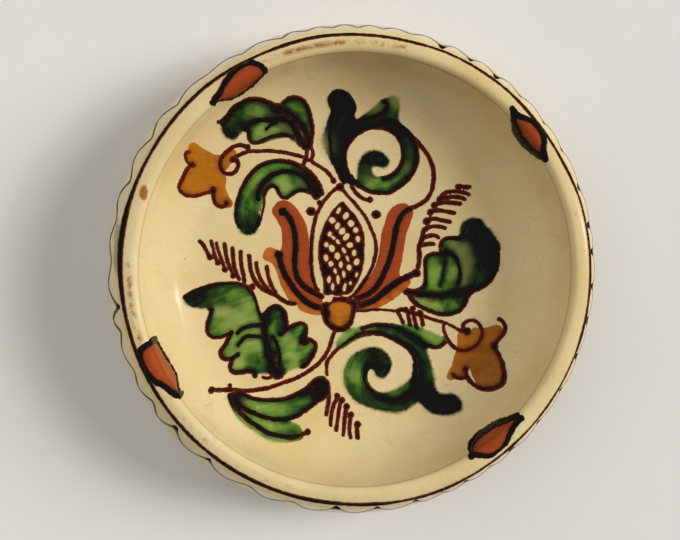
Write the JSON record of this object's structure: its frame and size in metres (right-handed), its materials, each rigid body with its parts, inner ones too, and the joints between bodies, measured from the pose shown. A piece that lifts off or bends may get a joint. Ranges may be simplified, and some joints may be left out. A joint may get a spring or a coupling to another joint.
{
  "type": "decorative plate",
  "caption": "Round deep glazed earthenware plate with a thick rolled lip and hand trailed flowers and leaves, for serving or hanging up as decoration.",
  "frame": {"origin": "centre of the foot ring's resting plane", "axes": "+Z along the plate's axis, up out of the dish; +Y towards the upper leaf and scroll of the painted flower, +X to its right"},
  "size_m": [0.22, 0.22, 0.0444],
  "materials": {
    "earthenware": "bare fired clay",
    "cream_glaze": "glossy transparent glaze over cream slip",
    "brown_slip": "glossy trailed manganese brown",
    "rim_slip": "glossy trailed grey brown",
    "red_slip": "glossy brushed iron red",
    "ochre_slip": "glossy brushed ochre",
    "copper_green": "glossy brushed copper green, running"
  },
  "bodies": {
    "root": {"bell_flower_left_line": "brown_slip", "bell_flower_left_ochre": "ochre_slip", "bell_flower_right_line": "brown_slip", "bell_flower_right_ochre": "ochre_slip", "boss_ochre": "ochre_slip", "boss_ring": "brown_slip", "bud_dots": "brown_slip", "clay_body": "earthenware", "cream_glaze": "cream_glaze", "fern_e": "brown_slip", "fern_s": "brown_slip", "fern_se": "brown_slip", "fern_w": "brown_slip", "leaf_e_green": "copper_green", "leaf_e_line": "brown_slip", "leaf_nw_green": "copper_green", "leaf_nw_line": "brown_slip", "leaf_s_green": "copper_green", "leaf_s_line": "brown_slip", "leaf_sw_green": "copper_green", "leaf_sw_line": "brown_slip", "leaf_w_green": "copper_green", "leaf_w_line": "brown_slip", "pod_lattice": "brown_slip", "pod_outline": "brown_slip", "rim_garland": "rim_slip", "rim_line": "rim_slip", "rim_petal_edge_ne": "brown_slip", "rim_petal_edge_nw": "brown_slip", "rim_petal_edge_se": "brown_slip", "rim_petal_edge_sw": "brown_slip", "rim_petal_red_ne": "red_slip", "rim_petal_red_nw": "red_slip", "rim_petal_red_se": "red_slip", "rim_petal_red_sw": "red_slip", "scroll_n_green": "copper_green", "scroll_n_line": "brown_slip", "scroll_s_green": "copper_green", "scroll_s_line": "brown_slip", "stem_e": "brown_slip", "stem_n": "brown_slip", "stem_s": "brown_slip", "stem_w": "brown_slip", "tulip_petal_left_line": "brown_slip", "tulip_petal_left_red": "red_slip", "tulip_petal_right_line": "brown_slip", "tulip_petal_right_red": "red_slip"}
  },
  "joints": []
}
